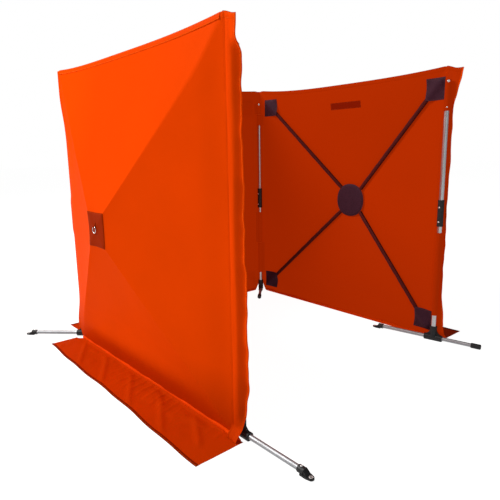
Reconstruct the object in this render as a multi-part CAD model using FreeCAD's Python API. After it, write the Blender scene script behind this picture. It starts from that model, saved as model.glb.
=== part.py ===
"""Pop-up welding screen: three sprung fabric panels in a U, four poles and four swivelling feet.

Millimetres, +Z up, +X to the right and +Y to the back. The origin is on the floor, under the
middle of the whole object. Each panel is modelled in its own axes: u along the panel, w out of
its outer face and z up, with the origin at the foot of the panel's first pole.
"""
import FreeCAD, Part
import math
import os

Vector = FreeCAD.Vector

# ---- Driving dimensions -------------------------------------------------------------------
PANEL = 1800.0            # nominal width and height of one fabric panel
BULGE = 220.0             # how far a panel's middle stands out of its plane
FABRIC = 1.5              # fabric thickness
FABRIC_OFFSET = 30.0      # pole axis to the inner face of the panel's plane
CORNER_GAP = 5.0          # panel fabric stops this far past the axis of a hinge pole
FLAP = 45.0               # edge flap beyond a free pole
TOP_INSET = 10.0          # the flaps end this far under the top corners

SKIRT = 250.0             # width of the ground skirt
SKIRT_THICKNESS = 2.0
SKIRT_GAP = 0.8           # skirt to the outer face of the fabric's plane
SKIRT_OVERHANG = 50.0     # skirt past the axis of a free pole
SKIRT_CLEARANCE = 68.0    # radius left open around a foot
NOTCH_WIDTH = 95.0        # corner cut of the fabric above a foot
NOTCH_HEIGHT = 110.0

POLE_RADIUS = 16.0
POLE_WALL = 1.5
POLE_TOP = 1712.0
POLE_SPLIT = 882.0        # where the lower and upper sections meet, inside the knuckle
KNUCKLE_RADIUS = 21.0
KNUCKLE_BOTTOM = 795.0
KNUCKLE_TOP = 970.0
KNUCKLE_COLLAR = 12.0
RIVET_HEIGHTS = (826.0, 922.0)
RIVET_RADIUS = 2.9
RIVET_HEAD_RADIUS = 5.5
RIVET_HEAD = 2.0

SLEEVE_RADIUS = 18.5
SLEEVE_BORE = 16.4
LOW_SLEEVE = (180.0, 752.0)
HIGH_SLEEVE = (1535.0, 1724.0)
SLEEVE_BREAK = 4.0        # gap between the sleeves of two panels on one pole

BAR_AXIS = 20.0           # height of a foot bar's axis
BAR_RADIUS = 12.5
BAR_WALL = 1.5
LONG_ARM = 445.0          # pole axis to the tip of the spade
SHORT_ARM = 310.0         # pole axis to the end of the round cap
FOOT_SLEEVE = 60.0        # half length of the foot joint along the bar
FOOT_SLEEVE_RADIUS = 20.0
FOOT_SOLE = 24.0          # width of the flat under the sleeve
FOOT_WEB = 12.0
FOOT_WEB_TOP = 92.0
FOOT_SWEEP = (33.0, 53.0)  # a point on the web's curved edge, from the pole axis and the floor
FOOT_HEIGHT = 100.0
SOCKET_RADIUS = 23.0
SOCKET_FLOOR = 36.0
CAP_RADIUS = 17.0
CAP_FILLET = 5.0
CAP_END = 14.0            # solid end of the round cap
ROUND_CAP = 60.0
SPADE = 80.0
SPADE_NECK = 34.0         # length of its socket
SPADE_BORE = 31.0
SPADE_WIDTH = 36.0
SPADE_BLADE = (3.0, 12.0)  # underside and top of the blade
SPADE_TIP = 14.0           # tip radius
STAKE_HOLE = 4.0           # radius of the hole for a ground stake

HUB_RADIUS = 80.0
HUB_FACES = (184.0, 209.0)  # inner and outer face, above the panel's plane
HUB_OPENING = 100.0         # half width of the fabric's opening at the hub
HUB_FILLET = 3.0
HUB_BOSS = 22.0             # radius of the boss behind the hub
CHANNEL_WIDTH = 15.0
CHANNEL_TOP = 206.0
CHANNEL_START = 36.0
COVER_RADIUS = 137.0
COVER_FACE = 174.5
PATCH_HALF = 95.0
PATCH_CROWN = 80.0
PATCH_GAP = 0.5             # patch to the hub's outer face
PATCH_DROP = 4.5            # the patch's edge below its crown
ROD_RADIUS = 5.5
ROD_HUB_RADIUS = 60.0       # rod's end, from the hub's middle
ROD_HUB_HEIGHT = 198.0
ROD_PIVOT = (73.0, 80.0, 1.0)  # from pole axis, from top or bottom edge, above the plane
FERRULE_RADIUS = 6.5
FERRULE = 30.0
POCKET = 145.0
POCKET_INSET = (45.0, 52.0)
POCKET_DEPTH = 12.0
POCKET_LIP = 5.0            # height of a pocket's raised edges over the plane

RING_RADIUS = 17.0
RING_WIRE = 2.2
RING_STANDOFF = 10.0        # ring's swing axis over the hub's outer face
LOOP = (12.0, 18.0)         # width and height of the strap loop
LOOP_HOLE = 4.2
LOOP_WALL = 2.0

CLEARANCE = 0.1             # radial, shaft in bore
OVERLAP = 4.0               # how far pieces that are fused run into each other
DEPTH = 400.0               # depth of the cutting tools, more than the bulge

# ---- Where the poles and panels stand -----------------------------------------------------
POLE_X = PANEL / 2 - FABRIC_OFFSET
BACK_REACH = (LONG_ARM - SPADE_TIP) * math.sin(math.radians(45)) + SPADE_TIP - FABRIC_OFFSET
SHIFT_Y = (PANEL + LONG_ARM - BACK_REACH) / 2   # brings the middle of the footprint to Y = 0
BACK_Y = SHIFT_Y - FABRIC_OFFSET
FRONT_Y = SHIFT_Y - PANEL
BACK_SPAN = 2 * POLE_X
WING_SPAN = BACK_Y - FRONT_Y

# pole name: x, y, heading of the long arm of its foot in degrees from +X
POLES = {
    "front_left": (-POLE_X, FRONT_Y, 270.0),
    "back_left": (-POLE_X, BACK_Y, 135.0),
    "back_right": (POLE_X, BACK_Y, 45.0),
    "front_right": (POLE_X, FRONT_Y, 100.0),
}

# panel name: first pole, turn about +Z, pole to pole, u of the nominal corners,
# and whether each end is a free edge
PANELS = {
    "left": ("front_left", 90.0, WING_SPAN, (0.0, PANEL), (True, False)),
    "back": ("back_left", 0.0, BACK_SPAN, (-FABRIC_OFFSET, PANEL - FABRIC_OFFSET), (False, False)),
    "right": ("back_right", -90.0, WING_SPAN, (-FABRIC_OFFSET, PANEL - FABRIC_OFFSET), (False, True)),
}


def box(low, high):
    """A box between two corners."""
    size = [b - a for a, b in zip(low, high)]
    return Part.makeBox(*size, Vector(*low))


def cylinder(radius, start, end):
    """A round bar between two points."""
    line = Vector(*end) - Vector(*start)
    return Part.makeCylinder(radius, line.Length, Vector(*start), line)


def tube(outer, inner, start, end):
    return cylinder(outer, start, end).cut(cylinder(inner, start, end))


def prism(points, along):
    """The flat outline through the points, pushed along a vector."""
    outline = Part.makePolygon([Vector(*p) for p in points + points[:1]])
    return Part.Face(outline).extrude(Vector(*along))


def polyhedron(faces):
    shell = Part.Shell([Part.Face(Part.makePolygon([Vector(*p) for p in f + f[:1]])) for f in faces])
    solid = Part.Solid(shell)
    if solid.Volume < 0:
        solid.reverse()
    return solid


def moved(shape, x, y, z=0.0, turn=0.0):
    placement = FreeCAD.Placement(Vector(x, y, z), FreeCAD.Rotation(Vector(0, 0, 1), turn))
    return shape.transformed(placement.toMatrix())


def on_panel(shape, name):
    """A shape in a panel's own axes, put in its place."""
    pole, turn = PANELS[name][:2]
    return moved(shape, POLES[pole][0], POLES[pole][1], 0.0, turn)


# ---- Poles --------------------------------------------------------------------------------
def rivet_holes(radius):
    reach = KNUCKLE_RADIUS + 5
    return Part.makeCompound([cylinder(radius, (-reach, 0, z), (reach, 0, z)) for z in RIVET_HEIGHTS])


def pole_section(bottom, top):
    pipe = tube(POLE_RADIUS, POLE_RADIUS - POLE_WALL, (0, 0, bottom), (0, 0, top))
    return pipe.cut(rivet_holes(RIVET_RADIUS + CLEARANCE))


def knuckle():
    """Moulded coupling over the two pole sections, with a thicker collar at each end."""
    body = cylinder(KNUCKLE_RADIUS - 1, (0, 0, KNUCKLE_BOTTOM), (0, 0, KNUCKLE_TOP))
    for low in (KNUCKLE_BOTTOM, KNUCKLE_TOP - KNUCKLE_COLLAR):
        ring = cylinder(KNUCKLE_RADIUS, (0, 0, low), (0, 0, low + KNUCKLE_COLLAR))
        body = body.fuse(ring.makeChamfer(1.5, [e for e in ring.Edges if len(e.Vertexes) == 1]))
    bore = cylinder(POLE_RADIUS + CLEARANCE / 2, (0, 0, KNUCKLE_BOTTOM - 1), (0, 0, KNUCKLE_TOP + 1))
    return body.cut(bore).cut(rivet_holes(RIVET_RADIUS + CLEARANCE))


def rivets():
    """The two rivets of one knuckle, with a head at both ends."""
    pins = []
    for z in RIVET_HEIGHTS:
        end = KNUCKLE_RADIUS - 1
        pin = cylinder(RIVET_RADIUS, (-end, 0, z), (end, 0, z))
        for side in (-1, 1):
            pin = pin.fuse(cylinder(RIVET_HEAD_RADIUS, (side * end, 0, z), (side * (end + RIVET_HEAD), 0, z)))
        pins.append(pin)
    return pins


# ---- Feet: modelled with the long arm along +X --------------------------------------------
def foot_joint():
    """Upright socket over a sleeve for the bar, with a web that sweeps from one to the other."""
    sleeve = cylinder(FOOT_SLEEVE_RADIUS, (-FOOT_SLEEVE, 0, BAR_AXIS), (FOOT_SLEEVE, 0, BAR_AXIS))
    socket = cylinder(SOCKET_RADIUS, (0, 0, BAR_AXIS), (0, 0, FOOT_HEIGHT))
    sole = box((-FOOT_SLEEVE, -FOOT_SOLE / 2, 0), (FOOT_SLEEVE, FOOT_SOLE / 2, BAR_AXIS))
    shape = sleeve.fuse(socket).fuse(sole)
    for side in (-1, 1):
        high = Vector(side * (SOCKET_RADIUS - 2), 0, FOOT_WEB_TOP)
        low = Vector(side * (FOOT_SLEEVE - 2), 0, 2 * FOOT_SLEEVE_RADIUS - 2)
        sweep = Part.Arc(low, Vector(side * FOOT_SWEEP[0], 0, FOOT_SWEEP[1]), high)
        rest = Part.makePolygon([high, Vector(0, 0, high.z), Vector(0, 0, BAR_AXIS),
                                 Vector(low.x, 0, BAR_AXIS), low])
        web = Part.Face(Part.Wire([sweep.toShape()] + rest.Edges)).extrude(Vector(0, FOOT_WEB, 0))
        web.translate(Vector(0, -FOOT_WEB / 2, 0))
        shape = shape.fuse(web)
    shape = shape.cut(cylinder(POLE_RADIUS + CLEARANCE, (0, 0, SOCKET_FLOOR), (0, 0, FOOT_HEIGHT + 1)))
    reach = FOOT_SLEEVE + 1
    bore = cylinder(BAR_RADIUS + CLEARANCE / 2, (-reach, 0, BAR_AXIS), (reach, 0, BAR_AXIS))
    return shape.cut(bore).removeSplitter()


def foot_bar():
    start, end = 1 - SHORT_ARM + CAP_END, LONG_ARM - SPADE + SPADE_BORE - 1
    return tube(BAR_RADIUS, BAR_RADIUS - BAR_WALL, (start, 0, BAR_AXIS), (end, 0, BAR_AXIS))


def round_cap():
    inner = -SHORT_ARM + ROUND_CAP
    cap = cylinder(CAP_RADIUS, (-SHORT_ARM, 0, BAR_AXIS), (inner, 0, BAR_AXIS))
    cap = cap.makeFillet(CAP_FILLET, [e for e in cap.Edges if e.BoundBox.XMax < -SHORT_ARM + 1])
    bore = cylinder(BAR_RADIUS + CLEARANCE / 2, (-SHORT_ARM + CAP_END, 0, BAR_AXIS), (inner + 1, 0, BAR_AXIS))
    return cap.cut(bore)


def spade_cap():
    """Socket on the bar's end, flattened into a blade with a stake hole near its tip."""
    start, neck, tip = LONG_ARM - SPADE, LONG_ARM - SPADE + SPADE_NECK, LONG_ARM - SPADE_TIP
    low, high = SPADE_BLADE
    half = SPADE_WIDTH / 2
    socket = cylinder(CAP_RADIUS, (start, 0, BAR_AXIS), (neck, 0, BAR_AXIS))
    shoulder, bend = neck - CAP_RADIUS, tip - SPADE_TIP
    blade = prism([(shoulder, -half, low), (bend, -half, low), (tip, -SPADE_TIP, low),
                   (tip, SPADE_TIP, low), (bend, half, low), (shoulder, half, low)], (0, 0, high - low))
    blade = blade.fuse(cylinder(SPADE_TIP, (tip, 0, low), (tip, 0, high)))
    ridge = BAR_AXIS + BAR_RADIUS
    slope = prism([(neck - OVERLAP, -SPADE_TIP, low), (neck - OVERLAP, -SPADE_TIP, ridge),
                   (bend + OVERLAP, -SPADE_TIP, high), (bend + OVERLAP, -SPADE_TIP, low)],
                  (0, 2 * SPADE_TIP, 0))
    cap = socket.fuse(blade).fuse(slope)
    bore = cylinder(BAR_RADIUS + CLEARANCE / 2, (start - 1, 0, BAR_AXIS), (start + SPADE_BORE, 0, BAR_AXIS))
    hole = cylinder(STAKE_HOLE, (tip, 0, low - 1), (tip, 0, BAR_AXIS + CAP_RADIUS))
    return cap.cut(bore).cut(hole).removeSplitter()


# ---- Panels -------------------------------------------------------------------------------
def ends(name):
    """u of the fabric's two ends, before its flaps."""
    span, free = PANELS[name][2], PANELS[name][4]
    return (0.0 if free[0] else CORNER_GAP), (span if free[1] else span - CORNER_GAP)


def middle(name):
    """u and z of the hub's axis."""
    return sum(PANELS[name][3]) / 2, PANEL / 2


def fabric(name):
    """Four flat gores between the corners and the hub, edge flaps, and sleeves round the poles."""
    (u0, u1), free = PANELS[name][3:]
    first, last = ends(name)
    uc, zc = middle(name)
    corners = [(u0, 0.0), (u1, 0.0), (u1, PANEL), (u0, PANEL)]
    span = PANELS[name][2]
    opening = box((uc - HUB_OPENING, 0, zc - HUB_OPENING), (uc + HUB_OPENING, DEPTH, zc + HUB_OPENING))
    trim = box((first, 0, 0), (last, DEPTH, PANEL))
    notches = [prism([(end, 0, 0), (end + way * NOTCH_WIDTH, 0, 0), (end, 0, NOTCH_HEIGHT)], (0, DEPTH, 0))
               for end, way in ((first, 1), (last, -1))]
    solids = []
    for a, b in zip(corners, corners[1:] + corners[:1]):
        gore = prism([(a[0], FABRIC_OFFSET, a[1]), (b[0], FABRIC_OFFSET, b[1]),
                      (uc, FABRIC_OFFSET + BULGE, zc)], (0, FABRIC, 0))
        gore = gore.common(trim).cut(opening)
        for notch in notches:
            gore = gore.cut(notch)
        solids += gore.Solids
    top = PANEL - TOP_INSET
    face = (FABRIC_OFFSET, FABRIC_OFFSET + FABRIC)
    if free[0]:
        solids.append(box((-FLAP, face[0], NOTCH_HEIGHT), (0, face[1], top)))
    if free[1]:
        solids.append(box((span, face[0], NOTCH_HEIGHT), (span + FLAP, face[1], top)))
    for at, side, open_end in ((0.0, 1, free[0]), (span, -1, free[1])):
        for low, high in (LOW_SLEEVE, HIGH_SLEEVE):
            half = (low + high) / 2
            if not open_end and name == "back":
                low = half + SLEEVE_BREAK / 2
            elif not open_end:
                high = half - SLEEVE_BREAK / 2
            solids.append(pole_sleeve(at, side, low, high))
    return solids


def pole_sleeve(at, side, low, high):
    """A fabric tube round a pole, and the strip that joins it to the panel."""
    ring = tube(SLEEVE_RADIUS, SLEEVE_BORE, (at, 0, low), (at, 0, high))
    near, far = sorted((at + side * CORNER_GAP, at + side * (CORNER_GAP + FABRIC)))
    strip = box((near, SLEEVE_BORE + 1, low), (far, FABRIC_OFFSET, high))
    return ring.fuse(strip).cut(cylinder(SLEEVE_BORE, (at, 0, low - 1), (at, 0, high + 1)))


def skirt(name):
    """The strip of the panel's fabric that lies on the floor outside it."""
    span, free = PANELS[name][2], PANELS[name][4]
    start = -SKIRT_OVERHANG if free[0] else CORNER_GAP - 1
    stop = span + SKIRT_OVERHANG if free[1] else span - CORNER_GAP + 1
    inner = FABRIC_OFFSET + FABRIC + SKIRT_GAP
    sheet = box((start, inner, 0), (stop, FABRIC_OFFSET + SKIRT, SKIRT_THICKNESS))
    for at in (0.0, span):
        sheet = sheet.cut(cylinder(SKIRT_CLEARANCE, (at, 0, -1), (at, 0, SKIRT_THICKNESS + 1)))
    return [sheet]


def pivots(name):
    """The corner end of each rod: u, w and z, anticlockwise from the low first corner."""
    span = PANELS[name][2]
    along, up, out = ROD_PIVOT
    w = FABRIC_OFFSET + out
    return [(along, w, up), (span - along, w, up), (span - along, w, PANEL - up), (along, w, PANEL - up)]


def pockets(name):
    """The square corner patches that hold the rods' ends, each with two raised edges."""
    span = PANELS[name][2]
    along, up = POCKET_INSET
    back = FABRIC_OFFSET - POCKET_DEPTH
    lip = FABRIC_OFFSET + POCKET_LIP
    solids = []
    for u, step_u in ((along, 1), (span - along, -1)):
        for z, step_z in ((up, 1), (PANEL - up, -1)):
            us, zs = sorted((u, u + step_u * POCKET)), sorted((z, z + step_z * POCKET))
            edge_u, edge_z = sorted((u, u + step_u * FABRIC)), sorted((z, z + step_z * FABRIC))
            plate = box((us[0], back, zs[0]), (us[1], back + FABRIC, zs[1]))
            plate = plate.fuse(box((edge_u[0], back, zs[0]), (edge_u[1], lip, zs[1])))
            solids.append(plate.fuse(box((us[0], back, edge_z[0]), (us[1], lip, edge_z[1]))).removeSplitter())
    return solids


def hub_end(name, pivot):
    """The hub's end of the rod that starts at a pivot."""
    uc, zc = middle(name)
    du, dz = pivot[0] - uc, pivot[2] - zc
    share = ROD_HUB_RADIUS / math.hypot(du, dz)
    return uc + du * share, FABRIC_OFFSET + ROD_HUB_HEIGHT, zc + dz * share


def rod(name, pivot):
    """A glass fibre rod with a metal ferrule on its corner end, rounded about its pivot."""
    start, end = Vector(*pivot), Vector(*hub_end(name, pivot))
    along = (end - start).normalize()
    bar = cylinder(ROD_RADIUS, start, end)
    ferrule = cylinder(FERRULE_RADIUS, start, start + along * FERRULE)
    return [bar.fuse(ferrule).fuse(Part.makeSphere(FERRULE_RADIUS, start))]


def hub(name):
    """A round block with an open channel for each rod, and a boss that carries the inner cover."""
    uc, zc = middle(name)
    low, high = [FABRIC_OFFSET + face for face in HUB_FACES]
    block = cylinder(HUB_RADIUS, (uc, low, zc), (uc, high, zc))
    block = block.makeFillet(HUB_FILLET, [e for e in block.Edges if len(e.Vertexes) == 1])
    boss_end = FABRIC_OFFSET + COVER_FACE + FABRIC
    block = block.fuse(cylinder(HUB_BOSS, (uc, boss_end, zc), (uc, low + 1, zc)))
    for pivot in pivots(name):
        angle = math.degrees(math.atan2(pivot[2] - zc, pivot[0] - uc))
        side = CHANNEL_WIDTH / 2
        channel = box((CHANNEL_START, 0, -side), (HUB_RADIUS + OVERLAP, CHANNEL_TOP, side))
        channel.rotate(Vector(0, 0, 0), Vector(0, -1, 0), angle)
        channel.translate(Vector(uc, FABRIC_OFFSET, zc))
        block = block.cut(channel)
    return [block]


def hub_cover(name):
    uc, zc = middle(name)
    face = FABRIC_OFFSET + COVER_FACE
    return [cylinder(COVER_RADIUS, (uc, face, zc), (uc, face + FABRIC, zc))]


def hub_patch(name):
    """A square patch over the hub, raised to a flat crown, and the loop that holds the pull ring."""
    uc, zc = middle(name)
    crown = FABRIC_OFFSET + HUB_FACES[1] + PATCH_GAP
    rim = crown - PATCH_DROP

    def square(half, w):
        return [(uc - half, w, zc - half), (uc + half, w, zc - half),
                (uc + half, w, zc + half), (uc - half, w, zc + half)]

    faces = []
    layers = [(square(PATCH_CROWN, crown + lift), square(PATCH_HALF, rim + lift)) for lift in (0, FABRIC)]
    for inner, outer in layers:
        faces.append(inner)
        faces += [[inner[i], inner[i - 1], outer[i - 1], outer[i]] for i in range(4)]
    low, high = layers[0][1], layers[1][1]
    faces += [[low[i], low[i - 1], high[i - 1], high[i]] for i in range(4)]
    patch = polyhedron(faces)
    w, z = ring_axis(name)
    across, tall = LOOP[0] / 2, LOOP[1] / 2
    top = w + LOOP_HOLE + LOOP_WALL
    loop = box((uc - across, crown + FABRIC / 2, z - tall), (uc + across, top, z + tall))
    return [patch.fuse(loop.cut(cylinder(LOOP_HOLE, (uc - across - 1, w, z), (uc + across + 1, w, z))))]


def ring_axis(name):
    """w and z of the line that the pull ring swings about."""
    return FABRIC_OFFSET + HUB_FACES[1] + RING_STANDOFF, middle(name)[1] + RING_RADIUS


def pull_ring(name):
    w, z = ring_axis(name)
    centre = Vector(middle(name)[0], w, z - RING_RADIUS)
    return [Part.makeTorus(RING_RADIUS, RING_WIRE, centre, Vector(0, 1, 0))]


# ---- All the nodes ------------------------------------------------------------------------
def build():
    """Node name to its list of solids."""
    nodes = {}
    groups = {"left": ["front_left"], "back": ["back_left", "back_right"], "right": ["front_right"]}
    for pole, (x, y, heading) in POLES.items():
        nodes[f"{pole}_pole_lower"] = [moved(pole_section(SOCKET_FLOOR + 0.3, POLE_SPLIT - 0.3), x, y)]
        nodes[f"{pole}_pole_upper"] = [moved(pole_section(POLE_SPLIT + 0.3, POLE_TOP), x, y)]
        nodes[f"{pole}_knuckle"] = [moved(knuckle(), x, y)]
        nodes[f"{pole}_foot_joint"] = [moved(foot_joint(), x, y, 0, heading)]
        nodes[f"{pole}_foot_bar"] = [moved(foot_bar(), x, y, 0, heading)]
        nodes[f"{pole}_foot_caps"] = [moved(cap, x, y, 0, heading) for cap in (round_cap(), spade_cap())]
    for panel, poles in groups.items():
        nodes[f"{panel}_rivets"] = [moved(r, *POLES[p][:2]) for p in poles for r in rivets()]
    makers = {"fabric": fabric, "skirt": skirt, "corner_pockets": pockets, "hub": hub,
              "hub_cover": hub_cover, "hub_patch": hub_patch, "pull_ring": pull_ring}
    for panel in PANELS:
        for kind, make in makers.items():
            nodes[f"{panel}_{kind}"] = [on_panel(s, panel) for s in make(panel)]
        for number, pivot in enumerate(pivots(panel), 1):
            nodes[f"{panel}_rod_{number}"] = [on_panel(s, panel) for s in rod(panel, pivot)]
    return nodes


os.makedirs("parts", exist_ok=True)
for node, solids in build().items():
    shape = solids[0] if len(solids) == 1 else Part.makeCompound(solids)
    if not shape.isValid():
        raise RuntimeError(f"{node} is not a valid shape")
    shape.exportStep(f"parts/{node}.step")
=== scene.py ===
"""Looks of the pop-up welding screen: three sprung orange PVC panels on aluminium poles and feet.

Metres, in the CAD model's frame. A panel's own axes are u along it, h out of its plane and z up.
"""
import bmesh
import bpy
import math
import numpy as np
from mathutils import Matrix, Vector, noise


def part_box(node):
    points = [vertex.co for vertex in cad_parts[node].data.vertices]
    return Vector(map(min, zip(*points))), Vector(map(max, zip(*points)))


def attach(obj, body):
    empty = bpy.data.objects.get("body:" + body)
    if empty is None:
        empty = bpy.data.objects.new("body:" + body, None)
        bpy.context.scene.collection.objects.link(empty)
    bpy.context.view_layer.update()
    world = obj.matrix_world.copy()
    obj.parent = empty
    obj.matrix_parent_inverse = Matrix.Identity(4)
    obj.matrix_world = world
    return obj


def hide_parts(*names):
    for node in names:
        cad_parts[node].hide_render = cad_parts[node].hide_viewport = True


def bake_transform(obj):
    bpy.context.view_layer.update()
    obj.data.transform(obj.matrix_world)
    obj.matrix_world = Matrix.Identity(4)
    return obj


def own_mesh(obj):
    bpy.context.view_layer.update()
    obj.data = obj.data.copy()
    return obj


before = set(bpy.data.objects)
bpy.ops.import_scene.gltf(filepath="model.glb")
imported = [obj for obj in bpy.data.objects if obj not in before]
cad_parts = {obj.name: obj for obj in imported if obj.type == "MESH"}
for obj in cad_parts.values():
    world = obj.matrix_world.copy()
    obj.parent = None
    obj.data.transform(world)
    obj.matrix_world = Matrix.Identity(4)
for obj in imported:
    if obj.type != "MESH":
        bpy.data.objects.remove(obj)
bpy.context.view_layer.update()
scene = bpy.context.scene
MM = 0.001
UP = (0, 0, 1)


# ---- Sizes taken from the frame -----------------------------------------------------------
def pole_axis(pole):
    low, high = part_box(f"{pole}_pole_upper")
    return Vector(((low.x + high.x) / 2, (low.y + high.y) / 2, 0))


def width(node):
    low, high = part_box(node)
    return high.x - low.x


def reach(node):
    """How far a node of the back panel stands out of the panel's plane."""
    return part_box(node)[1].y - pole_axis("back_left").y - PLANE


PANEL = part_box("back_fabric")[1].z
PLANE = PANEL / 2 - pole_axis("back_right").x      # pole axis to the inner face of a panel's plane
HUB_FACE = reach("back_hub")
POLE_RADIUS = width("back_left_pole_upper") / 2
POLE_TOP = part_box("back_left_pole_upper")[1].z
COVER_RADIUS = width("back_hub_cover") / 2
COVER_FACE = reach("back_hub_cover")
PATCH = width("back_hub_patch")
KNUCKLE_BOTTOM, KNUCKLE_TOP = (corner.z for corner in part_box("back_left_knuckle"))

# ---- Sizes of the sewing ------------------------------------------------------------------
FABRIC = 1.2 * MM
PLATEAU = 83 * MM                   # half width of the flat over the hub
APEX = HUB_FACE + 1.5 * MM          # inner face of the fabric over the hub
HOLLOW = 9 * MM                     # how far a gore dips between its ridges
EDGE_IN = 30 * MM                   # main cloth stops this far inside a free pole's axis
FLAP_DROP = 22 * MM                 # the top edge falls this much past a free pole
LOW_SLEEVE = (0.180, 0.752)
HIGH_SLEEVE = (1.535, POLE_TOP + 0.012)
# height of the top edge at a panel's first pole, at its middle and at its last pole
TOP_EDGE = {"left": (1.842, 1.812, 1.838), "back": (1.838, 1.804, 1.828), "right": (1.828, 1.791, 1.812)}
HUG = 19.5 * MM                     # pole axis to the inner face of the fabric that hugs it
KNUCKLE_HUG = 24.5 * MM
GUSSET_FOOT = 62 * MM               # the gusset's lower edge, over the foot joint
SQUASH_ANCHOR = 8.4 * MM            # clear of the rods when the hub is pushed in
CORNER = (0.095, 0.110)             # width and height of a hinge corner, cut from the main sheet over the foot


class Panel:
    """One panel: its axes, and the shape of its fabric."""

    def __init__(self, name, first, last, body, free, corner_u):
        self.name, self.body, self.free = name, body, free
        self.poles = (first, last)
        self.origin = pole_axis(first)
        line = pole_axis(last) - self.origin
        self.span = line.length
        self.along = line.normalized()
        self.out = Vector((-self.along.y, self.along.x, 0))
        self.middle = corner_u + PANEL / 2
        self.low = EDGE_IN if free[0] else 0.0
        self.high = self.span - EDGE_IN if free[1] else self.span

    def half(self, x):
        """Distance from the hub to the pole on the side of x."""
        return np.where(np.asarray(x) > 0, self.span - self.middle, self.middle)

    def at(self, u, h, z):
        """Points in the row frame. u, h and z are numbers or arrays."""
        u, h, z = np.broadcast_arrays(*[np.asarray(x, float) for x in (u, h, z)])
        out = np.array(self.out) * (PLANE + h)[..., None]
        return np.array(self.origin) + np.array(self.along) * u[..., None] + out + z[..., None] * UP

    def own(self, point):
        """u and h of a point in the row frame."""
        away = Vector(point) - self.origin
        return away.dot(self.along), away.dot(self.out) - PLANE


PANELS = {
    "left": Panel("left", "front_left", "back_left", "left_wing", (True, False), 0.0),
    "back": Panel("back", "back_left", "back_right", "back_frame", (False, False), -PLANE),
    "right": Panel("right", "back_right", "front_right", "right_wing", (False, True), -PLANE),
}


# ---- Node materials -----------------------------------------------------------------------
STITCH_PITCH, STITCH_SHARE, THREAD = 5.0 * MM, 0.68, 0.45 * MM     # thread is its half width


class Nodes:
    """A material of one Principled shader, and short ways to add nodes to it."""

    def __init__(self, name, **sockets):
        self.material = bpy.data.materials.new(name)
        self.material.use_nodes = True
        self.tree = self.material.node_tree
        self.shader = self.tree.nodes["Principled BSDF"]
        for socket, value in sockets.items():
            self.shader.inputs[socket.replace("_", " ").title().replace("Ior", "IOR")].default_value = value
        self.coordinates = self.tree.nodes.new("ShaderNodeTexCoord")

    def add(self, kind, **links):
        node = self.tree.nodes.new("ShaderNode" + kind)
        for socket, value in links.items():
            self.set(node.inputs[socket.replace("_", " ")], value)
        return node

    def set(self, socket, value):
        if isinstance(value, bpy.types.NodeSocket):
            self.tree.links.new(value, socket)
        else:
            socket.default_value = value

    def math(self, operation, a, b=0.0):
        node = self.add("Math")
        node.operation = operation
        self.set(node.inputs[0], a)
        self.set(node.inputs[1], b)
        return node.outputs[0]

    def noise(self, scale, detail=3.0, stretch=(1, 1, 1), roughness=0.5):
        mapping = self.add("Mapping", Vector=self.coordinates.outputs["Object"], Scale=stretch)
        texture = self.add("TexNoise", Vector=mapping.outputs[0], Scale=scale, Detail=detail,
                           Roughness=roughness)
        return texture.outputs["Fac"]

    def ramp(self, factor, *stops):
        """A colour ramp of two stops of (place, colour)."""
        node = self.add("ValToRGB", Fac=factor)
        for element, (place, colour) in zip(node.color_ramp.elements, stops):
            element.position = place
            element.color = (*colour, 1.0)
        return node.outputs["Color"]

    def mix(self, factor, a, b):
        node = self.add("Mix")
        node.data_type = "RGBA"
        for socket, value in zip((node.inputs[0], node.inputs[6], node.inputs[7]), (factor, a, b)):
            self.set(socket, (*value, 1.0) if isinstance(value, tuple) else value)
        return node.outputs[2]

    def span(self, factor, low, high):
        return self.add("MapRange", Value=factor, To_Min=low, To_Max=high).outputs[0]

    def bump(self, *layers):
        """Layers of (height, strength, distance), the coarsest first."""
        normal = None
        for height, strength, distance in layers:
            node = self.add("Bump", Height=height, Strength=strength, Distance=distance)
            if normal:
                self.set(node.inputs["Normal"], normal)
            normal = node.outputs[0]
        self.set(self.shader.inputs["Normal"], normal)

    def finish(self, colour, roughness):
        self.set(self.shader.inputs["Base Color"], colour)
        self.set(self.shader.inputs["Roughness"], roughness)
        return self.material

    def stitch(self, lines, thread, tone, layers):
        """Adds stitch lines that run along the UV's first axis, at `lines` mm up the second."""
        if not lines:
            return tone
        uv = self.add("SeparateXYZ", Vector=self.coordinates.outputs["UV"])
        along = self.math("MULTIPLY", uv.outputs[0], 1 / STITCH_PITCH)
        dash = self.math("LESS_THAN", self.math("FRACT", along), STITCH_SHARE)
        mask = None
        for place in lines:
            near = self.math("ABSOLUTE", self.math("SUBTRACT", uv.outputs[1], place * MM))
            line = self.math("LESS_THAN", near, THREAD)
            mask = line if mask is None else self.math("MAXIMUM", mask, line)
        mask = self.math("MULTIPLY", dash, mask)
        layers.append((mask, 0.6, 0.6 * MM))
        return self.mix(mask, tone, thread)


def tint(colour, factor):
    return tuple(c * factor for c in colour)


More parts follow.
